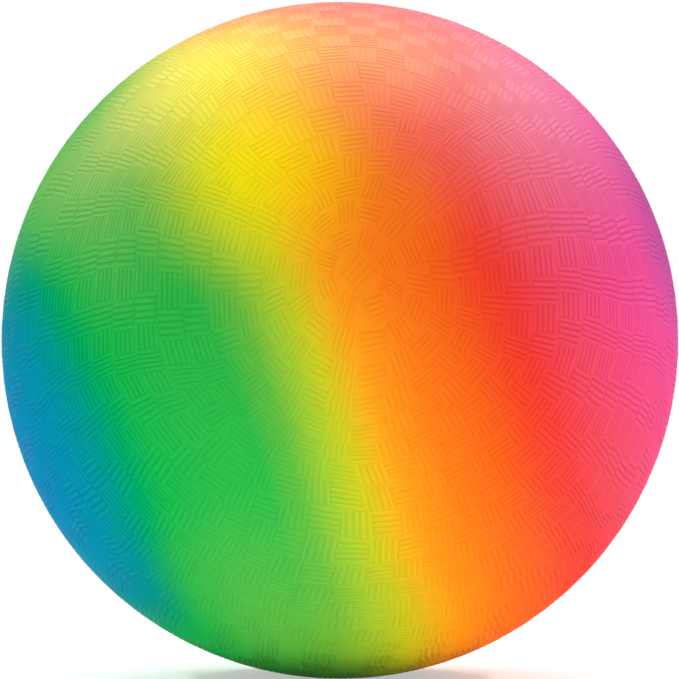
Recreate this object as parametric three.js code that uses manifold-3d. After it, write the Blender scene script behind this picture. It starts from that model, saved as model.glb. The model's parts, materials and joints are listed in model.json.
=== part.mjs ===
// Inflatable rubber playground ball, in millimetres with +Z up and the origin at the ball's centre.
// Two plies make the ball: a moulded cover cured over an air-tight bladder. A needle valve lies at one
// pole of the mould axis. Its flanged body passes out through both plies, a patch stiffens the bladder
// round it, and a self-sealing core pulls out of the body.

import * as THREE from 'three';
import { mergeVertices } from 'three/addons/utils/BufferGeometryUtils.js';
import Module from 'manifold-3d';

// The ball
const ballDiameter = 228.6;
const coverWall = 1.1;
const bladderWall = 0.8;
// Circle on which the ball's own weight flattens it against the floor
const restRadius = 10;

// Clearance between two pieces that lie against each other
const fitGap = 0.3;

// Direction of the valve: straight back along +Y, dropped below level and turned towards -X
const valveDropDeg = 10.5;
const valveTurnDeg = 3.5;

// Valve core: a plug with a head, a tapered tip and a funnelled needle channel
const coreRadius = 2.6;
const headLip = 1;
const headThickness = 1.4;
const headEdge = 0.3;
const coreReach = 1.5;
const tipLength = 2.5;
const tipRadius = 1.5;
const channelRadius = 0.8;
const channelLength = 9;
const funnelFlare = 0.8;
const funnelDepth = 1.4;

// Valve body: a neck round the head, a domed flange and a tapered barrel
const neckWall = 1.1;
const neckEdge = 0.3;
const flangeReach = 10;
const flangeWall = 1.2;
const flangeEdge = 0.5;
const barrelWall = 2.6;
const barrelTipWall = 1.8;
const barrelLength = 13;
const barrelFillet = 1.2;

// Patch between the bladder and the flange
const patchMargin = 9;
const patchWall = 0.9;
const patchEdge = 0.4;

// Smooth land on the cover round the valve, and the raised rim that guards the port
const rimSetback = 1;
const rimWidth = 2.2;
const rimHeight = 0.5;
const rimSlope = 0.5;
const landMargin = 3.5;
const landRise = 0.6;

// Facets: round the mould axis and from pole to pole
const coverSides = 60;
const coverRings = 30;
const plySides = 36;
const plyRings = 16;
const valveSides = 30;
const valveRings = 3;

// Radii of the layers, from the outside in
const ballRadius = ballDiameter / 2;
const bladderRadius = ballRadius - coverWall - fitGap;
const patchRadius = bladderRadius - bladderWall - fitGap;
const flangeRadius = patchRadius - patchWall - fitGap;

// Distances from the mould axis, from the core out
const boreReach = coreRadius + fitGap;
const headReach = coreRadius + headLip;
const pocketReach = headReach + fitGap;
const neckReach = pocketReach + neckWall;
const portReach = neckReach + fitGap;
const flangeRimReach = neckReach + flangeReach;
const patchRimReach = flangeRimReach + patchMargin;
const rimInnerReach = portReach + rimSetback;
const rimOuterReach = rimInnerReach + rimWidth;
const landReach = rimOuterReach + landMargin;
const barrelReach = boreReach + barrelWall;
const barrelTipReach = boreReach + barrelTipWall;

// Height above the ball's centre of a sphere's surface at a distance from the mould axis
function domeHeight(radius, reach) {
  return Math.sqrt(radius ** 2 - reach ** 2);
}

// Heights along the mould axis, measured from the ball's centre
const landHeight = domeHeight(ballRadius, landReach) + landRise;
const seatHeight = landHeight - headThickness - fitGap;
const headUnderside = seatHeight + fitGap;
const barrelTop = domeHeight(flangeRadius - flangeWall, barrelReach);
const barrelEnd = barrelTop - barrelLength;
const coreEnd = barrelEnd - coreReach;

const wasm = await Module();
wasm.setup();

// A closed geometry as a solid that can be cut and joined
function toSolid(geometry) {
  const bare = geometry.clone();
  bare.deleteAttribute('normal');
  bare.deleteAttribute('uv');
  const merged = mergeVertices(bare);
  const corners = merged.index.array;
  const triangles = [];
  for (let i = 0; i < corners.length; i += 3) {
    const [a, b, c] = corners.slice(i, i + 3);
    const hasArea = a !== b && b !== c && c !== a;
    if (hasArea) triangles.push(a, b, c);
  }
  const vertProperties = Float32Array.from(merged.attributes.position.array);
  const triVerts = Uint32Array.from(triangles);
  return new wasm.Manifold(new wasm.Mesh({ numProp: 3, vertProperties, triVerts }));
}

// A solid as a geometry
function toGeometry(solid) {
  const { vertProperties, triVerts } = solid.getMesh();
  const geometry = new THREE.BufferGeometry();
  geometry.setAttribute('position', new THREE.BufferAttribute(vertProperties, 3));
  geometry.setIndex(new THREE.BufferAttribute(triVerts, 1));
  geometry.computeVertexNormals();
  return geometry;
}

// A point of a profile: distance from the mould axis, then height along it
function at(reach, height) {
  return new THREE.Vector2(reach, height);
}

// Points on a circle about the ball's centre, between two angles from the valve's pole
function arc(radius, fromAngle, toAngle, steps) {
  const points = [];
  for (let i = 0; i <= steps; i += 1) {
    const angle = fromAngle + (toAngle - fromAngle) * i / steps;
    points.push(at(radius * Math.sin(angle), radius * Math.cos(angle)));
  }
  return points;
}

// The angle from the valve's pole at which a sphere reaches a distance from the mould axis
function angleAt(radius, reach) {
  return Math.asin(reach / radius);
}

// A full sphere with fine rings over the patch and coarser ones over the rest
function plySphere(radius) {
  const patchAngle = angleAt(radius, patchRimReach + patchMargin);
  const profile = [
    ...arc(radius, Math.PI, patchAngle, plyRings),
    ...arc(radius, patchAngle, 0, valveRings * 2).slice(1),
  ];
  return toSolid(new THREE.LatheGeometry(profile, plySides));
}

// The cover's outside: a sphere that runs into the land and the rim round the valve
function coverOutside() {
  const profile = [
    ...arc(ballRadius, Math.PI, angleAt(ballRadius, landReach), coverRings),
    at(landReach - landRise, landHeight),
    at(rimOuterReach, landHeight),
    at(rimOuterReach - rimSlope, landHeight + rimHeight),
    at(rimInnerReach + rimSlope, landHeight + rimHeight),
    at(rimInnerReach, landHeight),
    at(0, landHeight),
  ];
  return toSolid(new THREE.LatheGeometry(profile, coverSides));
}

// The pieces stand in one group whose +Y is the mould axis
const ball = new THREE.Group();
ball.rotation.set(
  -THREE.MathUtils.degToRad(valveDropDeg),
  0,
  THREE.MathUtils.degToRad(valveTurnDeg),
  'ZXY',
);
ball.updateMatrixWorld(true);
const worldToBall = ball.matrixWorld.clone().invert();

// Everything lower than the floor contact, for a surface that lies some depth below the cover's outside
function belowRest(depth) {
  const top = domeHeight(ballRadius, restRadius) - depth;
  const block = new THREE.BoxGeometry(ballDiameter, ballDiameter, ballRadius);
  block.translate(0, 0, -top - ballRadius / 2);
  block.applyMatrix4(worldToBall);
  return toSolid(block);
}

// The hole through both plies for the valve's neck
function valvePort() {
  const port = new THREE.CylinderGeometry(portReach, portReach, ballRadius, valveSides);
  port.translate(0, ballRadius, 0);
  return toSolid(port);
}

// A ply is the space between two surfaces, both flattened where the ball rests, with the port cut out
function ply(outside, outsideDepth, inside, insideDepth) {
  const flatOutside = outside.subtract(belowRest(outsideDepth));
  const flatInside = inside.subtract(belowRest(insideDepth));
  return toGeometry(flatOutside.subtract(flatInside).subtract(valvePort()));
}

function makeCover() {
  return ply(coverOutside(), 0, plySphere(ballRadius - coverWall), coverWall);
}

function makeBladder() {
  const outsideDepth = coverWall + fitGap;
  const inside = plySphere(bladderRadius - bladderWall);
  return ply(plySphere(bladderRadius), outsideDepth, inside, outsideDepth + bladderWall);
}

// A domed washer round the neck, thinned towards its rim
function makeValvePatch() {
  const under = patchRadius - patchWall;
  const rimUnder = patchRadius - patchEdge;
  const thinFrom = patchRimReach - patchMargin / 2;
  const profile = [
    ...arc(under, angleAt(under, portReach), angleAt(under, thinFrom), valveRings),
    at(patchRimReach, domeHeight(rimUnder, patchRimReach)),
    ...arc(patchRadius, angleAt(patchRadius, patchRimReach), angleAt(patchRadius, portReach), valveRings + 1),
    at(portReach, domeHeight(under, portReach)),
  ];
  return new THREE.LatheGeometry(profile, plySides);
}

// Flange, neck and barrel about one bore, with a pocket that the core's head sits in
function makeValveBody() {
  const under = flangeRadius - flangeWall;
  const rimUnder = flangeRadius - flangeEdge;
  const profile = [
    at(boreReach, barrelEnd),
    at(barrelTipReach, barrelEnd),
    at(barrelReach, barrelTop - barrelFillet),
    at(barrelReach + barrelFillet, domeHeight(under, barrelReach + barrelFillet)),
    at(flangeRimReach, domeHeight(rimUnder, flangeRimReach)),
    ...arc(flangeRadius, angleAt(flangeRadius, flangeRimReach), angleAt(flangeRadius, neckReach), valveRings),
    at(neckReach, landHeight - neckEdge),
    at(neckReach - neckEdge, landHeight),
    at(pocketReach, landHeight),
    at(pocketReach, seatHeight),
    at(boreReach, seatHeight),
    at(boreReach, barrelEnd),
  ];
  return new THREE.LatheGeometry(profile, valveSides);
}

// A plug whose needle channel is open at the head and closed, as the slit is at rest, towards the tip
function makeValveCore() {
  const profile = [
    at(0, coreEnd),
    at(tipRadius, coreEnd),
    at(coreRadius, coreEnd + tipLength),
    at(coreRadius, headUnderside),
    at(headReach, headUnderside),
    at(headReach, landHeight - headEdge),
    at(headReach - headEdge, landHeight),
    at(channelRadius + funnelFlare, landHeight),
    at(channelRadius, landHeight - funnelDepth),
    at(channelRadius, landHeight - funnelDepth - channelLength),
    at(0, landHeight - funnelDepth - channelLength),
  ];
  return new THREE.LatheGeometry(profile, valveSides);
}

// A named piece in its own rubber
function addPiece(name, geometry, color, roughness) {
  const material = new THREE.MeshStandardMaterial({ color, roughness, metalness: 0 });
  const mesh = new THREE.Mesh(geometry, material);
  mesh.name = name;
  ball.add(mesh);
}

addPiece('cover', makeCover(), 0xf58020, 0.55);
addPiece('bladder', makeBladder(), 0x35322f, 0.7);
addPiece('valve_patch', makeValvePatch(), 0x4a453f, 0.75);
addPiece('valve_body', makeValveBody(), 0x2b2a29, 0.6);
addPiece('valve_core', makeValveCore(), 0x1d1d1e, 0.5);

export default ball;
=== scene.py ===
"""Looks of an inflatable rainbow playground ball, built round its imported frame.

The cover is a rubber skin moulded with a basket weave of short ribs, sprayed in rainbow bands. Under it lie
the bladder and the needle valve. Pieces are shaped in mould coordinates, whose +Z is the valve's axis, and
are turned into the row frame when they are finished. Lengths are in metres.
"""

import json
import logging
import math
import random
from collections import defaultdict
from dataclasses import dataclass
from enum import Enum
from typing import Any, Iterable, Sequence, Union

import bmesh
import bpy
from bmesh.types import BMEdge, BMesh, BMFace, BMVert
from mathutils import Matrix, Vector, noise


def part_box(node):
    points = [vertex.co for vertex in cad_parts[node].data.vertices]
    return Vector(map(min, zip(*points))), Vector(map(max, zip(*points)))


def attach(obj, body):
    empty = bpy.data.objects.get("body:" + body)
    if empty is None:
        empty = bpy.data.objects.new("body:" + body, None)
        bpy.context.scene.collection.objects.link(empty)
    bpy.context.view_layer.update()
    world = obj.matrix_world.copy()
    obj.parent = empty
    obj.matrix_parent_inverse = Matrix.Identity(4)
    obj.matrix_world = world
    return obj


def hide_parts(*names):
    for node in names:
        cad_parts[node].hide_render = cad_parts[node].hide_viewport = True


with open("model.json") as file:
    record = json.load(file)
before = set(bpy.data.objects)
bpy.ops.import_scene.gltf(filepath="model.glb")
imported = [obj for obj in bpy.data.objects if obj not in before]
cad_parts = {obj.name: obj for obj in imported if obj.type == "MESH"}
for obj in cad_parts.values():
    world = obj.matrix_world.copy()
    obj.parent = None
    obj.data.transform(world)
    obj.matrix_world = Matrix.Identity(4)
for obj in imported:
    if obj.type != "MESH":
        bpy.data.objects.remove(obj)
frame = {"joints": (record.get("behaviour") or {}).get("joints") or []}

LOG = logging.getLogger("playground_ball")
MM = 0.001
WELD = 0.01 * MM
UP = Vector((0, 0, 1))
FULL_TURN = 2 * math.pi
IMAGE_SIDE = 679
BALL_IMAGE_RADIUS = 338.5
Colour = tuple[float, float, float]
Place = tuple[float, float, float]


def srgb(*levels: int) -> Colour:
    """The linear colour of red, green and blue display levels from 0 to 255, by the sRGB curve."""
    shares = [level / 255 for level in levels]
    return tuple(share / 12.92 if share <= 0.04045 else ((share + 0.055) / 1.055) ** 2.4 for share in shares)


def polar_point(radius: float, polar: float, azimuth: float) -> Vector:
    """A point at a distance from the ball's centre, by angles from the valve's pole and round its axis."""
    reach = radius * math.sin(polar)
    return Vector((reach * math.cos(azimuth), reach * math.sin(azimuth), radius * math.cos(polar)))


def dome_height(radius: float, reach: float) -> float:
    """Height of a sphere's surface at a distance from the valve's axis."""
    return math.sqrt(radius ** 2 - reach ** 2)


def dome_arc(radius: float, start: float, end: float, steps: int) -> list[Vector]:
    """Reach and height of points on a sphere, between two angles from the valve's pole in even steps."""
    angles = [start + (end - start) * step / steps for step in range(steps + 1)]
    return [Vector((radius * math.sin(angle), radius * math.cos(angle))) for angle in angles]


def add_object(name: str, data: bpy.types.ID) -> bpy.types.Object:
    """Adds an object to the scene.

    Args:
        name: Its name.
        data: Its mesh, lamp or camera.

    Returns:
        The object.
    """
    added = bpy.data.objects.new(name, data)
    bpy.context.scene.collection.objects.link(added)
    return added


def add_mesh(name: str, bm: BMesh, finish: bpy.types.Material) -> bpy.types.Object:
    """Ends a shape as a smooth object with outward normals.

    Args:
        name: The object's name.
        bm: The shape, which is freed.
        finish: Its material.

    Returns:
        The object.
    """
    bmesh.ops.recalc_face_normals(bm, faces=bm.faces)
    mesh = bpy.data.meshes.new(name)
    bm.to_mesh(mesh)
    bm.free()
    mesh.shade_smooth()
    mesh.materials.append(finish)
    return add_object(name, mesh)


def hang_lamp(data: bpy.types.Light, place: Vector, target: Vector) -> None:
    """Hangs a lamp at a place and turns it to a target.

    Args:
        data: The lamp.
        place: Where it hangs.
        target: What it lights.
    """
    lamp = add_object(data.name, data)
    lamp.location = place
    lamp.rotation_euler = (target - place).to_track_quat("-Z", "Y").to_euler()


@dataclass(frozen=True)
class BallFrame:
    """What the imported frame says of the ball's size and attitude."""

    radius: float
    floor: float
    to_row: Matrix

    @classmethod
    def read(cls) -> "BallFrame":
        """Reads the cover's box and the valve core's joint.

        Returns:
            The ball's frame.
        """
        low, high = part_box("cover")
        valve_axis = Vector(frame["joints"][0]["axis"]).normalized()
        side = valve_axis.cross(UP).normalized()
        to_row = Matrix((side, valve_axis.cross(side), valve_axis)).transposed()
        return cls((high.x - low.x) / 2, low.z, to_row)


@dataclass(frozen=True)
class Fits:
    """Walls of the layers and sizes at the valve, as on the solids."""

    gap: float = 0.3 * MM
    cover_wall: float = 1.1 * MM
    bladder_wall: float = 0.8 * MM
    patch_wall: float = 0.9 * MM
    flange_wall: float = 1.2 * MM
    core_reach: float = 2.6 * MM
    head_reach: float = 3.6 * MM
    neck_reach: float = 5.0 * MM
    flange_reach: float = 15.0 * MM
    patch_reach: float = 24.0 * MM
    land_reach: float = 12.0 * MM
    land_rise: float = 0.6 * MM

    @property
    def port_reach(self) -> float:
        """Reach of the hole through both plies."""
        return self.neck_reach + self.gap


class RibRun(Enum):
    """Which way the ribs of a weave patch run."""

    ALONG_MERIDIAN = 0
    ALONG_RING = 1


@dataclass(frozen=True)
class Piece:
    """A piece of the ball with its own mesh, finish and place in the frame."""

    ball: BallFrame
    fits: Fits
    name: str = "piece"
    node: str = "node"
    body: str = "ball"
    slot: str = "slot"
    crease: float = math.radians(28)

    def shape(self, bm: BMesh) -> None:
        """Shapes the piece in mould coordinates."""
        raise NotImplementedError

    def finish(self) -> bpy.types.Material:
        """The piece's material."""
        raise NotImplementedError

    def flatten(self, bm: BMesh) -> None:
        """Presses a piece that lies over the floor contact flat, in the row frame."""

    def build(self) -> bpy.types.Object:
        """Shapes, places and dresses the piece.

        Returns:
            The finished object, riding on its body.
        """
        bm = bmesh.new()
        self.shape(bm)
        bmesh.ops.transform(bm, matrix=self.ball.to_row.to_4x4(), verts=bm.verts)
        self.flatten(bm)
        piece = add_mesh(self.name, bm, self.finish())
        piece.data.set_sharp_from_angle(angle=self.crease)
        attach(piece, self.body)
        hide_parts(self.node)
        return piece


def spin_round(bm: BMesh, geom: list[BMVert | BMEdge], steps: int) -> None:
    """Turns points and edges once round the valve's axis."""
    bmesh.ops.spin(bm, geom=geom, cent=(0, 0, 0), axis=UP, angle=FULL_TURN, steps=steps, use_merge=True)


def spin_profile(bm: BMesh, points: Sequence[Vector], steps: int, closed: bool = False) -> None:
    """Turns a profile about the valve's axis.

    Args:
        bm: The mesh that takes the turned surface.
        points: Reach and height of each profile point.
        steps: How many sides the turned surface has.
        closed: Whether the last point joins the first.
    """
    known = set(bm.verts)
    knots = [bm.verts.new((point.x, 0, point.y)) for point in points]
    ends = knots[1:] + knots[:1] if closed else knots[1:]
    lines = [bm.edges.new(pair) for pair in zip(knots, ends)]
    spin_round(bm, knots + lines, steps)
    turned = [vert for vert in bm.verts if vert not in known]
    bmesh.ops.remove_doubles(bm, verts=turned, dist=WELD)


def press_ply(bm: BMesh, ball: BallFrame, depth: float, wall: float) -> None:
    """Presses both faces of a ply flat over the floor contact.

    Args:
        bm: The ply, in the row frame.
        ball: The ball's frame.
        depth: How far the ply's outer face lies under the ball's surface.
        wall: The ply's wall.
    """
    level = ball.floor + depth
    middle = ball.radius - depth - wall / 2
    for vert in bm.verts:
        inside = vert.co.length < middle and vert.co.z > ball.floor
        vert.co.z = max(vert.co.z, level + wall if inside else level)


@dataclass(frozen=True)
class WeaveRing:
    """A ring of weave patches between two angles from the valve's pole."""

    near: float
    far: float
    count: int
    turn: float


@dataclass(frozen=True)
class Cover(Piece):
    """The outer ply: ribbed all over, with a smooth land and a rim round the valve's port."""

    name: str = "cover_skin"
    node: str = "cover"
    slot: str = "cover_rubber"
    groove_layer: str = "groove"
    # share of the grooves' painted shade that darkens the seams between patches
    seam_shade: float = 0.1
    patch_side: float = 9.2 * MM
    ring_seam: float = 0.25 * MM
    patch_margin: float = 0.08 * MM
    wedge_limit: float = 1.12
    pole_share: float = 0.77
    pole_sides: int = 4
    ribs_in_patch: int = 5
    strips_to_rib: int = 3
    shoulder_inset: float = 0.22 * MM
    shoulder_height: float = 0.19 * MM
    stagger: float = 0.25
    topmost: float = -math.pi / 2
    front_rings: int = 19
    back_rings: int = 18
    parting_width: float = 1.2 * MM
    parting_height: float = 0.2 * MM
    land_gap: float = 2.0 * MM
    rim_inner: float = 6.3 * MM
    rim_outer: float = 8.5 * MM
    rim_height: float = 0.5 * MM
    rim_slope: float = 0.5 * MM
    rim_round: float = 0.8
    valve_sides: int = 64
    inner_rings: int = 18
    wander: float = 8.0 * MM
    wander_size: float = 45.0 * MM
    parting_calm: float = 6.0
    valve_calm: float = 4.0
    valve_calm_start: float = 0.7
    seed: int = 11

    @property
    def ground(self) -> float:
        """Radius of the grooves, from which the ribs rise to the ball's radius."""
        return self.ball.radius - self.shoulder_height

    def ring_layout(self) -> tuple[list[WeaveRing], list[WeaveRing]]:
        """Places the rings of patches.

        Returns:
            The back half's rings and the front half's, each from the parting line to its pole.
        """
        draw = random.Random(self.seed)
        half_band = self.parting_width / 2 / self.ball.radius
        land_edge = math.asin((self.fits.land_reach + self.land_gap) / self.ball.radius)
        back_pitch = (math.pi / 2 - half_band - land_edge) / self.back_rings
        front_pitch = (math.pi / 2 - half_band) / (self.front_rings + self.pole_share)
        back = []
        front = []
        for row in range(self.back_rings):
            far = math.pi / 2 - half_band - row * back_pitch
            back.append(self.ring(far - back_pitch, far, row == 0, draw))
        for row in range(self.front_rings):
            near = math.pi / 2 + half_band + row * front_pitch
            front.append(self.ring(near, near + front_pitch, row == 0, draw))
        return back, front

    def ring(self, near: float, far: float, at_parting: bool, draw: random.Random) -> WeaveRing:
        """One ring, with an even count of patches and a seam to the rings beside it.

        Args:
            near: Angle from the valve's pole where the ring's share starts.
            far: Angle where it ends.
            at_parting: Whether the ring lies at the parting line, where both halves line up.
            draw: Source of the ring's turn.

        Returns:
            The ring.
        """
        round_way = FULL_TURN * self.ball.radius * math.sin((near + far) / 2)
        count = 2 * round(round_way / self.patch_side / 2)
        stagger = 0.0 if at_parting else draw.uniform(-self.stagger, self.stagger)
        turn = self.topmost + stagger * FULL_TURN / count
        seam = self.ring_seam / 2 / self.ball.radius
        near += seam
        far -= seam
        chord_drop = 1 - math.cos(math.pi / count)
        if far < math.pi / 2:
            near += chord_drop * math.sin(near)
        else:
            far -= chord_drop * math.sin(far)
        return WeaveRing(near, far, count, turn)

    def spin_ring(self, bm: BMesh, ring: WeaveRing) -> list[BMFace]:
        """Turns a ring's patches as plain faces.

        Args:
            bm: The mesh.
            ring: The ring.

        Returns:
            The patches.
        """
        known = set(bm.faces)
        ends = [bm.verts.new(polar_point(self.ground, polar, ring.turn)) for polar in (ring.near, ring.far)]
        side = bm.edges.new(ends)
        spin_round(bm, ends + [side], ring.count)
        return [face for face in bm.faces if face not in known]

    def circle(self, edges: Iterable[BMEdge], polar: float) -> list[BMEdge]:
        """The edges that lie on one circle of latitude of the ground."""
        height = self.ground * math.cos(polar)
        return [edge for edge in edges if all(abs(vert.co.z - height) < WELD for vert in edge.verts)]

    def join_circles(self, bm: BMesh, first: float, second: float) -> list[BMFace]:
        """Bridges the ground between two open circles of latitude.

        Args:
            bm: The mesh.
            first: Angle of one circle from the valve's pole.
            second: Angle of the other.

        Returns:
            The new faces.
        """
        loose = [edge for edge in bm.edges if edge.is_boundary]
        rims = self.circle(loose, first) + self.circle(loose, second)
        return bmesh.ops.bridge_loops(bm, edges=rims)["faces"]

    def shape(self, bm: BMesh) -> None:
        """Lays the patches ring by ring, joins them, carves the ribs and adds the land and the inside.

        Args:
            bm: The mesh.
        """
        mark = bm.faces.layers.int.new("patch")
        groove = bm.faces.layers.float.new(self.groove_layer)
        back, front = self.ring_layout()
        runs: dict[int, RibRun] = {}
        patches: list[BMFace] = []
        for row, ring in enumerate(back + front):
            for face in self.spin_ring(bm, ring):
                centre = face.calc_center_median()
                azimuth = math.atan2(centre.y, centre.x) - ring.turn
                place = math.floor(azimuth % FULL_TURN / FULL_TURN * ring.count)
                patches.append(face)
                runs[len(patches)] = RibRun((place + row) % 2)
        patches.append(self.front_cap(bm, front[-1]))
        runs[len(patches)] = RibRun.ALONG_RING
        for ring, following in zip(back, back[1:]):
            self.join_circles(bm, ring.near, following.far)
        for ring, following in zip(front, front[1:]):
            self.join_circles(bm, ring.far, following.near)
        cap_polar = max(vert.co.angle(UP) for vert in patches[-1].verts)
        self.join_circles(bm, front[-1].far, cap_polar)
        self.parting_line(bm, back[0], front[0])
        self.let_wander(bm)
        self.carve(bm, mark, groove, patches, runs)
        self.valve_land(bm, back[-1])

    def front_cap(self, bm: BMesh, ring: WeaveRing) -> BMFace:
        """The single patch on the front pole.

        Args:
            bm: The mesh.
            ring: The ring round the patch.

        Returns:
            The patch.
        """
        known = set(bm.faces)
        reach = self.ground * math.sin(ring.far) * math.cos(math.pi / ring.count) - self.ring_seam
        place = Matrix.Translation((0, 0, -dome_height(self.ground, reach)))
        bmesh.ops.create_circle(bm, cap_ends=True, radius=reach, segments=self.pole_sides, matrix=place)
        return next(face for face in bm.faces if face not in known)

    def parting_line(self, bm: BMesh, back: WeaveRing, front: WeaveRing) -> None:
        """Joins the halves by the fine bead that the mould leaves where it parts.

        Args:
            bm: The mesh.
            back: The back half's ring at the parting line.
            front: The front half's ring there.
        """
        band = self.join_circles(bm, back.far, front.near)
        rungs = dict.fromkeys(edge for face in band for edge in face.edges if not edge.is_boundary)
        rims = set(self.circle(rungs, back.far) + self.circle(rungs, front.near))
        bmesh.ops.subdivide_edges(bm, edges=[edge for edge in rungs if edge not in rims], cuts=1)

    def carve(
        self, bm: BMesh, mark: Any, groove: Any, patches: list[BMFace], runs: dict[int, RibRun],
    ) -> None:
        """Frames each patch, cuts it into strips, marks the grooves among them and raises the ribs.

        A rib takes two strips, and the groove beside it takes one.

        Args:
            bm: The mesh.
            mark: Face layer that numbers the patches.
            groove: Face layer that is 1 between the ribs, and less on the seams, which sets how much painted
                shade darkens them.
            patches: The plain patches.
            runs: Way of the ribs, by patch number.
        """
        bmesh.ops.inset_individual(bm, faces=patches, thickness=self.patch_margin, use_even_offset=True)
        cuts: list[BMEdge] = []
        across: dict[int, Vector] = {}
        for number, patch in enumerate(patches, start=1):
            patch[mark] = number
            meridian_sides, ring_sides = self.opposite_sides(patch)
            self.square_up(ring_sides)
            sides = ring_sides if runs[number] is RibRun.ALONG_MERIDIAN else meridian_sides
            across[number] = self.heading(sides[0])
            cuts.extend(sides)
        strip_count = self.strips_to_rib * self.ribs_in_patch - 1
        bmesh.ops.subdivide_edges(bm, edges=cuts, cuts=strip_count - 1)
        for vert in bm.verts:
            at_parting = abs(vert.co.z) < self.parting_width / 4
            vert.co = vert.co.normalized() * (self.ground + self.parting_height * at_parting)
        strips: dict[int, list[BMFace]] = defaultdict(list)
        for face in bm.faces:
            strips[face[mark]].append(face)
        # the seams get a weaker share of the grooves' painted shade
        for face in strips[0]:
            face[groove] = self.seam_shade
        for number, direction in across.items():
            row = sorted(strips[number], key=lambda face: face.calc_center_median().dot(direction))
            for face in row[self.strips_to_rib - 1::self.strips_to_rib]:
                face[groove] = 1.0
        self.raise_ribs(bm, groove)

    def opposite_sides(self, patch: BMFace) -> tuple[list[BMEdge], list[BMEdge]]:
        """Tells a patch's sides apart.

        Args:
            patch: The patch.

        Returns:
            Its two sides along the meridian, then its two along the ring.
        """
        round_way = UP.cross(patch.calc_center_median())
        sides = sorted(patch.edges, key=lambda edge: abs(self.heading(edge).dot(round_way)))
        return sides[:2], sides[2:]

    def square_up(self, ring_sides: list[BMEdge]) -> None:
        """Trims the wide end of a wedge-shaped patch.

        Args:
            ring_sides: The patch's sides along the ring.
        """
        narrow, wide = sorted(ring_sides, key=BMEdge.calc_length)
        share = self.wedge_limit * narrow.calc_length() / wide.calc_length()
        middle = (wide.verts[0].co + wide.verts[1].co) / 2
        for vert in wide.verts:
            vert.co = middle + (vert.co - middle) * min(1.0, share)

    @staticmethod
    def heading(edge: BMEdge) -> Vector:
        """The direction of an edge."""
        return (edge.verts[1].co - edge.verts[0].co).normalized()

    def raise_ribs(self, bm: BMesh, groove: Any) -> None:
        """Joins the strips between grooves, two and two, and raises them as ribs with sloped shoulders.

        Args:
            bm: The mesh.
            groove: Face layer that is 0 on the strips of ribs.
        """
        crests = [edge for edge in bm.edges if not any(face[groove] for face in edge.link_faces)]
        bmesh.ops.dissolve_edges(bm, edges=crests, use_verts=True)
        bmesh.ops.inset_individual(
            bm, faces=[face for face in bm.faces if not face[groove]], use_even_offset=True,
            thickness=self.shoulder_inset, depth=self.shoulder_height,
        )

    def let_wander(self, bm: BMesh) -> None:
        """Lets the rows of patches wander, as in a hand-cut mould, but not by the parting line and the valve.

        Args:
            bm: The mesh.
        """
        noise.seed_set(self.seed)
        for vert in bm.verts:
            reach = vert.co.length
            drift = noise.noise_vector(vert.co / self.wander_size) * self.wander
            polar = vert.co.angle(UP)
            off_parting = min(1.0, abs(math.cos(polar)) * self.parting_calm)
            off_valve = min(1.0, max(0.0, polar * self.valve_calm - self.valve_calm_start))
            freedom = off_parting * off_valve
            vert.co = (vert.co + drift * freedom).normalized() * reach

    def valve_land(self, bm: BMesh, ring: WeaveRing) -> None:
        """Adds the smooth land, its rim, the port's wall and the inside of the ply.

        Args:
            bm: The mesh.
            ring: The ring of patches round the land.
        """
        fits = self.fits
        inside = self.ball.radius - fits.cover_wall
        land = dome_height(self.ball.radius, fits.land_reach) + fits.land_rise
        port_angle = math.asin(fits.port_reach / inside)
        edge = math.asin(fits.land_reach / self.ground)
        profile = [
            Vector((fits.land_reach, dome_height(self.ground, fits.land_reach))),
            Vector((fits.land_reach - fits.land_rise / 2, land - fits.land_rise / 4)),
            Vector((fits.land_reach - fits.land_rise, land)),
            Vector((self.rim_outer, land)),
            Vector((self.rim_outer - self.rim_slope / 2, land + self.rim_height * self.rim_round)),
            Vector((self.rim_outer - self.rim_slope, land + self.rim_height)),
            Vector((self.rim_inner + self.rim_slope, land + self.rim_height)),
            Vector((self.rim_inner + self.rim_slope / 2, land + self.rim_height * self.rim_round)),
            Vector((self.rim_inner, land)),
            Vector((fits.port_reach + fits.gap, land)),
            Vector((fits.port_reach, land - fits.gap)),
            *dome_arc(inside, port_angle, math.pi, self.inner_rings),
        ]
        spin_profile(bm, profile, self.valve_sides)
        self.join_circles(bm, ring.near, edge)

    def flatten(self, bm: BMesh) -> None:
        """Presses the ribs and the inside flat over the floor contact."""
        press_ply(bm, self.ball, 0.0, self.fits.cover_wall)

    def finish(self) -> bpy.types.Material:
        """Rainbow rubber."""
        return RainbowRubber(self.ball, self.ground, self.groove_layer).make("rainbow_rubber")


@dataclass(frozen=True)
class Bladder(Piece):
    """The inner, air-tight ply."""

    name: str = "bladder_skin"
    node: str = "bladder"
    slot: str = "bladder_rubber"
    sides: int = 64
    rings: int = 32

    def shape(self, bm: BMesh) -> None:
        """Turns both faces of the ply, joined at the port.

        Args:
            bm: The mesh.
        """
        outer = self.ball.radius - self.fits.cover_wall - self.fits.gap
        inner = outer - self.fits.bladder_wall
        port = self.fits.port_reach
        profile = dome_arc(outer, math.pi, math.asin(port / outer), self.rings)
        profile += dome_arc(inner, math.asin(port / inner), math.pi, self.rings)
        spin_profile(bm, profile, self.sides)

    def flatten(self, bm: BMesh) -> None:
        """Presses both faces flat over the floor contact."""
        press_ply(bm, self.ball, self.fits.cover_wall + self.fits.gap, self.fits.bladder_wall)

    def finish(self) -> bpy.types.Material:
        """Plain rubber dusted with chalk."""
        chalked = PlainRubber(srgb(58, 55, 51), srgb(126, 122, 114), roughness=0.72, scale=90.0, amount=0.5)
        return chalked.make("chalked_rubber")


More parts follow.
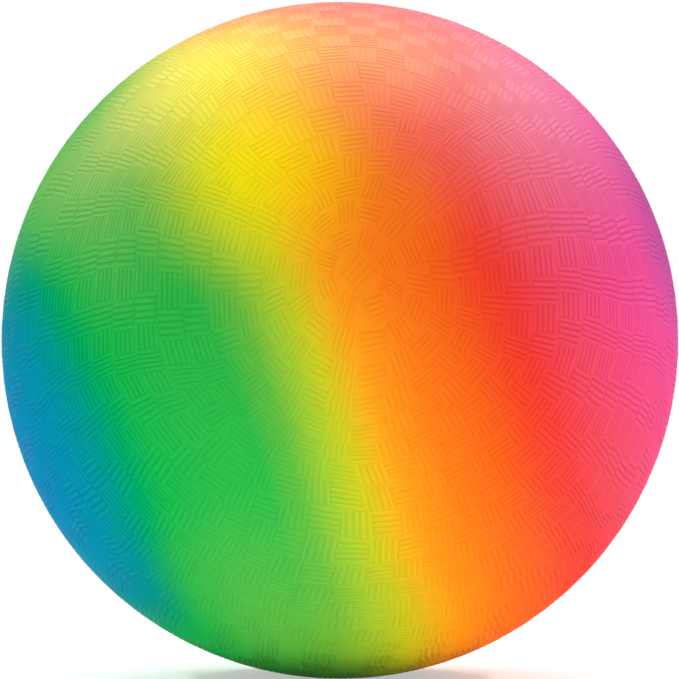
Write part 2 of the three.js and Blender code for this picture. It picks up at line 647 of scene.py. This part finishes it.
@dataclass(frozen=True)
class ValvePiece(Piece):
    """A turned piece of the needle valve, with its sharp rings rounded."""

    sides: int = 96
    closed: bool = True
    edge_round: float = 0.12 * MM
    sharp: float = math.radians(35)

    @property
    def land(self) -> float:
        """Height of the land that the valve's faces lie flush with."""
        return dome_height(self.ball.radius, self.fits.land_reach) + self.fits.land_rise

    @property
    def patch_top(self) -> float:
        """Radius of the patch's outer face."""
        plies = self.fits.cover_wall + self.fits.bladder_wall
        return self.ball.radius - plies - 2 * self.fits.gap

    @property
    def flange_top(self) -> float:
        """Radius of the flange's outer face."""
        return self.patch_top - self.fits.patch_wall - self.fits.gap

    def profile(self) -> list[Vector]:
        """The profile's points."""
        raise NotImplementedError

    def shape(self, bm: BMesh) -> None:
        """Turns the profile and rounds its sharp rings.

        Args:
            bm: The mesh.
        """
        spin_profile(bm, self.profile(), self.sides, self.closed)
        bmesh.ops.recalc_face_normals(bm, faces=bm.faces)
        rings = [edge for edge in bm.edges if edge.is_manifold and edge.calc_face_angle() > self.sharp]
        bmesh.ops.bevel(
            bm, geom=rings, offset=self.edge_round, segments=2, profile=0.5,
            affect="EDGES", clamp_overlap=True, material=-1,
        )


@dataclass(frozen=True)
class ValvePatch(ValvePiece):
    """A domed washer that stiffens the bladder round the valve."""

    name: str = "valve_patch_disc"
    node: str = "valve_patch"
    slot: str = "patch_rubber"
    rim_wall: float = 0.4 * MM
    feather: float = 4.5 * MM
    under_steps: int = 6
    top_steps: int = 8

    def profile(self) -> list[Vector]:
        """Under face, feathered rim, outer face and the hole for the neck.

        Returns:
            The profile's points.
        """
        fits = self.fits
        under = self.patch_top - fits.patch_wall
        rim_under = self.patch_top - self.rim_wall
        thin_from = fits.patch_reach - self.feather
        under_port = math.asin(fits.port_reach / under)
        points = dome_arc(under, under_port, math.asin(thin_from / under), self.under_steps)
        points.append(Vector((fits.patch_reach, dome_height(rim_under, fits.patch_reach))))
        top_rim = math.asin(fits.patch_reach / self.patch_top)
        top_port = math.asin(fits.port_reach / self.patch_top)
        return points + dome_arc(self.patch_top, top_rim, top_port, self.top_steps)

    def finish(self) -> bpy.types.Material:
        """Rubber buffed for glue."""
        buffed = PlainRubber(srgb(76, 71, 65), srgb(98, 92, 84), roughness=0.78, scale=900.0, amount=0.8)
        return buffed.make("buffed_rubber")


@dataclass(frozen=True)
class ValveBody(ValvePiece):
    """Flange, neck and barrel about one bore, with a pocket for the core's head."""

    name: str = "valve_body_turned"
    node: str = "valve_body"
    slot: str = "valve_rubber"
    pocket_depth: float = 1.7 * MM
    neck_edge: float = 0.3 * MM
    flange_rim: float = 0.5 * MM
    flange_steps: int = 6
    barrel_wall: float = 2.6 * MM
    barrel_tip_wall: float = 1.8 * MM
    barrel_length: float = 13.0 * MM
    barrel_fillet: float = 1.2 * MM
    fillet_bend: float = 0.3

    def profile(self) -> list[Vector]:
        """Bore's end, barrel, flange, neck, pocket and seat, back to the bore.

        Returns:
            The profile's points.
        """
        fits = self.fits
        bore = fits.core_reach + fits.gap
        pocket = fits.head_reach + fits.gap
        barrel = bore + self.barrel_wall
        under = self.flange_top - fits.flange_wall
        root = barrel + self.barrel_fillet
        barrel_top = dome_height(under, barrel)
        barrel_end = barrel_top - self.barrel_length
        bend = self.barrel_fillet * self.fillet_bend
        seat = self.land - self.pocket_depth
        rim_angle = math.asin(fits.flange_reach / self.flange_top)
        neck_angle = math.asin(fits.neck_reach / self.flange_top)
        return [
            Vector((bore, barrel_end)),
            Vector((bore + self.barrel_tip_wall, barrel_end)),
            Vector((barrel, barrel_top - self.barrel_fillet)),
            Vector((barrel + bend, barrel_top - bend)),
            Vector((root, dome_height(under, root))),
            Vector((fits.flange_reach, dome_height(self.flange_top - self.flange_rim, fits.flange_reach))),
            *dome_arc(self.flange_top, rim_angle, neck_angle, self.flange_steps),
            Vector((fits.neck_reach, self.land - self.neck_edge)),
            Vector((fits.neck_reach - self.neck_edge, self.land)),
            Vector((pocket, self.land)),
            Vector((pocket, seat)),
            Vector((bore, seat)),
        ]

    def finish(self) -> bpy.types.Material:
        """Moulded rubber."""
        moulded = PlainRubber(srgb(44, 42, 41), srgb(62, 60, 58), roughness=0.58, scale=400.0, amount=0.4)
        return moulded.make("moulded_rubber")


@dataclass(frozen=True)
class ValveCore(ValvePiece):
    """The self-sealing plug, with the funnel and channel that a pump needle enters by."""

    name: str = "valve_core_plug"
    node: str = "valve_core"
    body: str = "core"
    slot: str = "core_rubber"
    closed: bool = False
    head_depth: float = 1.4 * MM
    head_edge: float = 0.3 * MM
    length: float = 19.5 * MM
    tip_length: float = 2.5 * MM
    tip_reach: float = 1.5 * MM
    channel_reach: float = 0.8 * MM
    channel_length: float = 9.0 * MM
    funnel_flare: float = 0.8 * MM
    funnel_depth: float = 1.4 * MM
    funnel_bend_in: float = 0.7
    funnel_bend_down: float = 0.45

    def profile(self) -> list[Vector]:
        """Tip, plug, head, face, funnel and the closed needle channel.

        Returns:
            The profile's points, from the axis back to the axis.
        """
        land = self.land
        end = land - self.length
        core = self.fits.core_reach
        head = self.fits.head_reach
        mouth = self.channel_reach + self.funnel_flare
        throat = land - self.funnel_depth
        bend_reach = mouth - self.funnel_flare * self.funnel_bend_in
        bend_height = land - self.funnel_depth * self.funnel_bend_down
        return [
            Vector((0, end)),
            Vector((self.tip_reach, end)),
            Vector((core, end + self.tip_length)),
            Vector((core, land - self.head_depth)),
            Vector((head, land - self.head_depth)),
            Vector((head, land - self.head_edge)),
            Vector((head - self.head_edge, land)),
            Vector((mouth, land)),
            Vector((bend_reach, bend_height)),
            Vector((self.channel_reach, throat)),
            Vector((self.channel_reach, throat - self.channel_length)),
            Vector((0, throat - self.channel_length)),
        ]

    def finish(self) -> bpy.types.Material:
        """Oiled rubber."""
        oiled = PlainRubber(srgb(30, 30, 32), srgb(46, 46, 48), roughness=0.42, scale=500.0, amount=0.3)
        return oiled.make("oiled_rubber")


Operand = Union["Signal", float]


class Signal:
    """A shader socket that Python's operators turn into Math nodes."""

    def __init__(self, maker: "NodeMaker", socket: bpy.types.NodeSocket | None) -> None:
        """Wraps an output socket of a maker's tree, or none for a node without outputs."""
        self.maker = maker
        self.socket = socket

    def math(self, operation: str, first: Operand, second: Operand) -> "Signal":
        """A Math node of two operands."""
        return self.maker.node("ShaderNodeMath", {"operation": operation}, {0: first, 1: second})

    def __add__(self, other: Operand) -> "Signal":
        """This plus another."""
        return self.math("ADD", self, other)

    def __sub__(self, other: Operand) -> "Signal":
        """This less another."""
        return self.math("SUBTRACT", self, other)

    def __rsub__(self, other: Operand) -> "Signal":
        """Another less this."""
        return self.math("SUBTRACT", other, self)

    def __mul__(self, other: Operand) -> "Signal":
        """This times another."""
        return self.math("MULTIPLY", self, other)

    __radd__ = __add__
    __rmul__ = __mul__

    def ramp(self, low: float, high: float) -> "Signal":
        """A smooth rise from 0 at low to 1 at high."""
        inputs = {"Value": self, "From Min": low, "From Max": high}
        return self.maker.node("ShaderNodeMapRange", {"interpolation_type": "SMOOTHSTEP"}, inputs)


class NodeMaker:
    """Makes and links the nodes of one node tree. The Mix node's colour sockets go by number."""

    noise_roughness: float = 0.55
    first_colour: int = 6
    second_colour: int = 7
    mixed_colour: int = 2

    def __init__(self, tree: bpy.types.NodeTree) -> None:
        """Starts from an empty tree."""
        self.tree = tree
        tree.nodes.clear()

    def node(
        self, kind: str, settings: dict[str, Any] | None = None,
        inputs: dict[str | int, Any] | None = None, output: str | int = 0,
    ) -> Signal:
        """Adds a node.

        Args:
            kind: The node's type.
            settings: Properties, set first. "stops" holds a colour ramp's places and colours.
            inputs: Values or signals of its sockets, by name or number.
            output: Which output the signal wraps.

        Returns:
            The chosen output.
        """
        made = self.tree.nodes.new(kind)
        for name, value in (settings or {}).items():
            if name == "stops":
                self.set_stops(made.color_ramp, value)
            else:
                setattr(made, name, value)
        for name, value in (inputs or {}).items():
            if isinstance(value, Signal):
                self.tree.links.new(value.socket, made.inputs[name])
            else:
                made.inputs[name].default_value = value
        sockets = made.outputs
        return Signal(self, sockets[output]) if len(sockets) else Signal(self, None)

    @staticmethod
    def set_stops(ramp: bpy.types.ColorRamp, stops: Sequence[tuple[float, Colour]]) -> None:
        """Gives a colour ramp its stops.

        Args:
            ramp: The colour ramp.
            stops: Places from 0 to 1, each with its colour.
        """
        while len(ramp.elements) < len(stops):
            ramp.elements.new(1.0)
        for element, (place, colour) in zip(ramp.elements, stops):
            element.position = place
            element.color = (*colour, 1.0)

    def texture(self, scale: float, detail: float, where: Signal) -> Signal:
        """Soft noise from 0 to 1 with a given number of features to the metre."""
        inputs = {"Vector": where, "Scale": scale, "Detail": detail, "Roughness": self.noise_roughness}
        return self.node("ShaderNodeTexNoise", {"noise_dimensions": "3D"}, inputs)

    def mix(self, factor: Operand, first: Any, second: Any) -> Signal:
        """A colour between two colours."""
        inputs = {"Factor": factor, self.first_colour: first, self.second_colour: second}
        return self.node("ShaderNodeMix", {"data_type": "RGBA"}, inputs, self.mixed_colour)

    def object_place(self) -> Signal:
        """Object coordinates."""
        return self.node("ShaderNodeTexCoord", output="Object")

    def distance(self, place: Signal, point: Place = (0.0, 0.0, 0.0)) -> Signal:
        """Distance of a place from a point, or from the origin."""
        return self.node("ShaderNodeVectorMath", {"operation": "DISTANCE"}, {0: place, 1: point}, "Value")

    def dress(self, inputs: dict[str | int, Any]) -> None:
        """Ends the tree in a Principled shader with these inputs."""
        shader = self.node("ShaderNodeBsdfPrincipled", None, inputs, "BSDF")
        self.node("ShaderNodeOutputMaterial", None, {"Surface": shader})


def new_material(name: str) -> tuple[bpy.types.Material, NodeMaker]:
    """Adds an empty material with nodes.

    Args:
        name: The material's name.

    Returns:
        The material and the maker of its nodes.
    """
    material = bpy.data.materials.new(name)
    material.use_nodes = True
    return material, NodeMaker(material.node_tree)


@dataclass(frozen=True)
class Grain:
    """Fine unevenness of a moulded surface."""

    scale: float
    detail: float
    strength: float
    depth: float = 0.05 * MM

    def bump(self, maker: NodeMaker, texture: Signal) -> Signal:
        """The normal of a surface that has the grain."""
        inputs = {"Strength": self.strength, "Distance": self.depth, "Height": texture}
        return maker.node("ShaderNodeBump", None, inputs, "Normal")


@dataclass(frozen=True)
class Cloud:
    """A soft round cloud on the ball, with its place and reach in ball radii."""

    place: Place
    reach: float
    amount: float


@dataclass(frozen=True)
class ColourCloud(Cloud):
    """A cloud of one more colour over the bands."""

    colour: Colour


@dataclass(frozen=True)
class RainbowRubber:
    """Satin rubber sprayed in soft rainbow bands between two nozzles, then clouded here and there with more
    colour, and with white and pale clouds on its top and upper sides that are in part painted sheen.

    Places are in ball radii, and a band is where the distances from the two nozzles differ by so much. Swirls
    push the bands aside. The grooves and seams are painted darker as shade, more towards the ball's sides and
    less under the thin coat that lies on its top.
    """

    ball: BallFrame
    ground: float
    groove_layer: str
    blue_nozzle: Place = (-1.94, -0.79, -0.91)
    purple_nozzle: Place = (2.78, -0.57, 0.80)
    swirls: tuple[Cloud, ...] = (
        Cloud((0.15, -0.54, 0.83), 0.44, -0.52),
        Cloud((-0.36, -0.92, -0.18), 0.59, -0.05),
        Cloud((0.46, -0.55, -0.76), 0.50, -0.10),
        Cloud((-0.45, -0.82, 0.35), 0.25, -0.045),
        Cloud((0.18, -0.89, 0.41), 0.30, -0.14),
        Cloud((-0.55, -0.45, -0.71), 0.30, -0.07),
    )
    sprays_and_painted_sheen: tuple[ColourCloud, ...] = (
        ColourCloud((-0.39, -0.51, 0.77), 0.49, 0.90, srgb(255, 236, 6)),
        ColourCloud((-0.25, -0.83, 0.50), 0.43, 0.74, srgb(255, 236, 6)),
        # white cloud on the upper right: partly thinner paint, partly painted sheen
        ColourCloud((0.46, -0.52, 0.72), 0.67, 0.165, srgb(255, 255, 255)),
        # pale cloud on the upper left: painted sheen
        ColourCloud((-0.66, -0.50, 0.59), 0.50, 0.42, srgb(215, 222, 140)),
        ColourCloud((-0.20, -0.66, -0.72), 0.42, 0.20, srgb(160, 208, 80)),
        ColourCloud((0.02, -0.42, -0.90), 0.45, 0.13, srgb(255, 236, 6)),
        # these two pale clouds on the upper left are painted sheen too
        ColourCloud((-0.86, -0.16, 0.48), 0.42, 0.17, srgb(215, 222, 140)),
        ColourCloud((-0.62, -0.74, 0.26), 0.28, 0.075, srgb(215, 222, 140)),
        ColourCloud((0.80, -0.42, -0.43), 0.60, 0.28, srgb(205, 95, 100)),
        # white cloud on the top: painted sheen
        ColourCloud((0.0, -0.10, 1.0), 0.95, 0.14, srgb(255, 255, 255)),
    )
    bands: tuple[tuple[float, Colour], ...] = (
        (-2.60, srgb(0, 132, 183)), (-2.38, srgb(0, 142, 166)), (-2.25, srgb(0, 150, 140)),
        (-2.12, srgb(0, 167, 98)), (-2.00, srgb(22, 180, 78)), (-1.75, srgb(42, 182, 74)),
        (-1.45, srgb(46, 182, 72)), (-1.27, srgb(96, 185, 66)), (-1.10, srgb(158, 199, 52)),
        (-0.95, srgb(200, 201, 36)), (-0.83, srgb(232, 182, 32)), (-0.70, srgb(249, 156, 28)),
        (-0.45, srgb(248, 126, 27)), (-0.15, srgb(246, 99, 28)), (0.05, srgb(244, 72, 40)),
        (0.20, srgb(242, 62, 54)), (0.50, srgb(240, 74, 101)), (0.80, srgb(240, 78, 136)),
        (1.04, srgb(238, 82, 155)), (1.13, srgb(222, 86, 160)), (1.21, srgb(203, 86, 161)),
        (1.30, srgb(176, 80, 163)),
    )
    drift: float = 0.05
    drift_scale: float = 14.0
    drift_detail: float = 2.0
    grain: Grain = Grain(scale=2600.0, detail=1.0, strength=0.12)
    grain_drift: float = 0.02
    noise_middle: float = 0.5
    # painted shade in the grooves and seams: its strength near the middle and towards the sides
    groove_shade_low: float = 0.075
    groove_shade_high: float = 0.20
    groove_near: float = 0.25
    groove_far: float = 0.75
    roughness: float = 0.46
    roughness_drift: float = 0.10
    crown_share: float = 0.8
    crown_polish: float = 0.05
    specular: float = 0.004
    coat_low: float = 0.45
    coat_high: float = 1.0
    coat_weight: float = 0.5
    coat_roughness: float = 0.5
    coat_ior: float = 1.75

    def make(self, name: str) -> bpy.types.Material:
        """Builds the material.

        Args:
            name: The material's name.

        Returns:
            The material.
        """
        material, maker = new_material(name)
        place = maker.object_place()
        drift = maker.texture(self.drift_scale, self.drift_detail, place) - self.noise_middle
        grain = maker.texture(self.grain.scale, self.grain.detail, place)
        blur = drift * self.drift + (grain - self.noise_middle) * self.grain_drift
        across, level = (maker.node("ShaderNodeSeparateXYZ", None, {0: place}, letter) for letter in "XZ")
        gloss = level.ramp(self.coat_low * self.ball.radius, self.coat_high * self.ball.radius)
        aside = across.math("ABSOLUTE", across, 0.0)
        rise = aside.ramp(self.groove_near * self.ball.radius, self.groove_far * self.ball.radius)
        groove = maker.node("ShaderNodeAttribute", {"attribute_name": self.groove_layer}, None, "Fac")
        # painted shade: grooves and seams darkened towards black, more towards the sides, less under the coat
        # on top
        painted_groove_shade = (rise * (self.groove_shade_high - self.groove_shade_low) + self.groove_shade_low) * (1.0 - gloss) * groove
        relief = self.ball.radius - self.ground
        crown = maker.distance(place).ramp(self.ground, self.ground + relief * self.crown_share)
        maker.dress({
            "Base Color": maker.mix(painted_groove_shade, self.spray(maker, place, blur), (0, 0, 0, 1)),
            "Roughness": drift * self.roughness_drift + self.roughness - crown * self.crown_polish,
            "Normal": self.grain.bump(maker, grain),
            "Specular IOR Level": self.specular,
            "Coat Weight": gloss * self.coat_weight,
            "Coat Roughness": self.coat_roughness,
            "Coat IOR": self.coat_ior,
        })
        return material

    def spray(self, maker: NodeMaker, place: Signal, blur: Signal) -> Signal:
        """Lays the bands, then the clouds of colour and of painted sheen.

        Args:
            maker: The maker of the material's nodes.
            place: The place on the ball.
            blur: How far the bands are pushed aside by noise.

        Returns:
            The colour.
        """
        band = self.away(maker, place, self.blue_nozzle) - self.away(maker, place, self.purple_nozzle)
        for swirl in self.swirls:
            band += self.density(maker, place, swirl)
        low = self.bands[0][0]
        span = self.bands[-1][0] - low
        stops = [((level - low) / span, colour) for level, colour in self.bands]
        share = (band + blur - low) * (1 / span)
        colour = maker.node("ShaderNodeValToRGB", {"stops": stops}, {"Fac": share}, "Color")
        for cloud in self.sprays_and_painted_sheen:
            colour = maker.mix(self.density(maker, place, cloud), colour, (*cloud.colour, 1))
        return colour

    def density(self, maker: NodeMaker, place: Signal, cloud: Cloud) -> Signal:
        """How much of a cloud lies at a place, up to its amount."""
        return self.away(maker, place, cloud.place).ramp(cloud.reach, 0.0) * cloud.amount

    def away(self, maker: NodeMaker, place: Signal, point: Place) -> Signal:
        """Distance of a place from a point, in ball radii."""
        there = tuple(part * self.ball.radius for part in point)
        return maker.distance(place, there) * (1 / self.ball.radius)


@dataclass(frozen=True)
class PlainRubber:
    """Unpainted rubber with clouds of a paler bloom on it, of a scale and an amount."""

    base: Colour
    bloom: Colour
    roughness: float
    scale: float
    amount: float
    bloom_detail: float = 4.0
    bloom_start: float = 0.35
    bloom_full: float = 0.75
    bloom_roughness: float = 0.12
    specular: float = 0.4
    grain: Grain = Grain(scale=4000.0, detail=2.0, strength=0.2)

    def make(self, name: str) -> bpy.types.Material:
        """Builds the material.

        Args:
            name: The material's name.

        Returns:
            The material.
        """
        material, maker = new_material(name)
        place = maker.object_place()
        cloud = maker.texture(self.scale, self.bloom_detail, place).ramp(self.bloom_start, self.bloom_full)
        grain = maker.texture(self.grain.scale, self.grain.detail, place)
        maker.dress({
            "Base Color": maker.mix(cloud * self.amount, (*self.base, 1), (*self.bloom, 1)),
            "Roughness": cloud * self.bloom_roughness + self.roughness,
            "Normal": self.grain.bump(maker, grain),
            "Specular IOR Level": self.specular,
        })
        return material


@dataclass(frozen=True)
class SoftBox:
    """A rectangular studio lamp that faces the ball."""

    name: str
    place: Place
    width: float
    depth: float
    power: float

    def hang(self) -> None:
        """Adds the lamp to the scene."""
        data = bpy.data.lights.new(self.name, "AREA")
        data.shape = "RECTANGLE"
        data.size = self.width
        data.size_y = self.depth
        data.energy = self.power
        hang_lamp(data, Vector(self.place), Vector())


@dataclass(frozen=True)
class Studio:
    """A white sweep, soft lamps and the camera."""

    ball: BallFrame
    camera_distance: float = 1.6
    camera_aside: float = -0.15 * MM
    camera_lift: float = 0.29 * MM
    camera_sight: float = 100.0
    floor_reach: float = 5.0
    cove_radius: float = 0.5
    cove_steps: int = 12
    wall_height: float = 1.2
    sweep_sides: int = 72
    cloth_level: float = 0.92
    glow_near: float = 0.1
    glow_far: float = 0.9
    glow_least: float = 0.45
    sky_strength: float = 0.39
    lamps: tuple[SoftBox, ...] = (
        SoftBox("ceiling_box", (0.0, 0.35, 1.45), width=3.2, depth=2.4, power=42.0),
        SoftBox("front_box", (0.0, -3.4, 0.3), width=4.6, depth=0.8, power=18.0),
        SoftBox("left_box", (-3.5, -0.9, 0.35), width=3.2, depth=0.9, power=13.0),
        SoftBox("right_box", (3.5, -0.9, 0.35), width=3.2, depth=0.9, power=14.0),
    )
    spot_count: int = 6
    spot_reach: float = 1.2
    spot_height: float = 1.0
    spot_target: float = 0.13
    spot_angle: float = math.radians(8.5)
    spot_blend: float = 1.0
    spot_bulb: float = 0.05
    spot_power: float = 50.0

    def set_up(self) -> None:
        """Adds the sweep, the sky, the lamps and the camera, and sets the view transform."""
        self.add_sweep()
        self.add_sky()
        for lamp in self.lamps:
            lamp.hang()
        self.light_floor()
        self.add_camera()
        bpy.context.scene.view_settings.view_transform = "Standard"

    def add_sweep(self) -> None:
        """Adds the pale floor, which bends up into a low wall all round."""
        bm = bmesh.new()
        profile = [Vector((0, 0))]
        for step in range(self.cove_steps + 1):
            bend = math.pi / 2 * step / self.cove_steps
            out = self.floor_reach + self.cove_radius * math.sin(bend)
            profile.append(Vector((out, self.cove_radius * (1 - math.cos(bend)))))
        profile.append(Vector((self.floor_reach + self.cove_radius, self.wall_height)))
        spin_profile(bm, profile, self.sweep_sides)
        bmesh.ops.translate(bm, vec=(0, 0, self.ball.floor), verts=bm.verts)
        sweep = add_mesh("studio_sweep", bm, self.sweep_finish())

    def sweep_finish(self) -> bpy.types.Material:
        """Builds a pale floor that shows near white to the camera, in reflections and through refractions.

        It keeps the ball's shadow.

        Returns:
            The material.
        """
        material, maker = new_material("pale_sweep")
        pale = (self.cloth_level, self.cloth_level, self.cloth_level, 1)
        cloth = maker.node("ShaderNodeBsdfDiffuse", None, {"Color": pale}, "BSDF")
        glow = maker.node("ShaderNodeEmission", None, {"Color": (1, 1, 1, 1), "Strength": 1.0}, "Emission")
        kinds = ("Camera", "Glossy", "Transmission")
        rays = [maker.node("ShaderNodeLightPath", None, None, f"Is {kind} Ray") for kind in kinds]
        seen = (rays[0] + rays[1] + rays[2]).ramp(0.0, 1.0)
        far = maker.distance(maker.object_place()).ramp(self.glow_near, self.glow_far)
        share = seen * (far * (1 - self.glow_least) + self.glow_least)
        both = maker.node("ShaderNodeMixShader", None, {"Fac": share, 1: cloth, 2: glow}, "Shader")
        maker.node("ShaderNodeOutputMaterial", None, {"Surface": both})
        return material

    def add_sky(self) -> None:
        """Adds even light from all round."""
        world = bpy.data.worlds.new("studio_sky")
        world.use_nodes = True
        bpy.context.scene.world = world
        maker = NodeMaker(world.node_tree)
        light = {"Color": (1, 1, 1, 1), "Strength": self.sky_strength}
        sky = maker.node("ShaderNodeBackground", None, light)
        maker.node("ShaderNodeOutputWorld", None, {"Surface": sky})

    def light_floor(self) -> None:
        """Adds spots that light the floor round the ball, so that it throws light up under it."""
        for step in range(self.spot_count):
            turn = FULL_TURN * step / self.spot_count - math.pi / 2
            away = Vector((math.cos(turn), math.sin(turn), 0))
            data = bpy.data.lights.new("floor_spot", "SPOT")
            data.energy = self.spot_power
            data.spot_size = self.spot_angle
            data.spot_blend = self.spot_blend
            data.shadow_soft_size = self.spot_bulb
            place = away * self.spot_reach + UP * self.spot_height
            hang_lamp(data, place, away * self.spot_target + UP * self.ball.floor)

    def add_camera(self) -> None:
        """Adds the camera, about level with the ball's centre, with the ball as wide as in the photograph."""
        data = bpy.data.cameras.new("photo_camera")
        data.type = "PERSP"
        edge = math.tan(math.asin(self.ball.radius / self.camera_distance))
        data.angle = 2 * math.atan(edge * IMAGE_SIDE / 2 / BALL_IMAGE_RADIUS)
        data.clip_end = self.camera_sight
        camera = add_object("photo_camera", data)
        camera.location = (self.camera_aside, -self.camera_distance, self.camera_lift)
        camera.rotation_euler = (math.pi / 2, 0, 0)
        bpy.context.scene.camera = camera


def main() -> None:
    """Builds the ball and its studio."""
    logging.basicConfig(level=logging.INFO, format="%(message)s")
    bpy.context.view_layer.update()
    ball = BallFrame.read()
    fits = Fits()
    for kind in (Cover, Bladder, ValvePatch, ValveBody, ValveCore):
        piece = kind(ball, fits).build()
        LOG.info("%s: %d faces", piece.name, len(piece.data.polygons))
    Studio(ball).set_up()


if __name__ == "__main__":
    main()
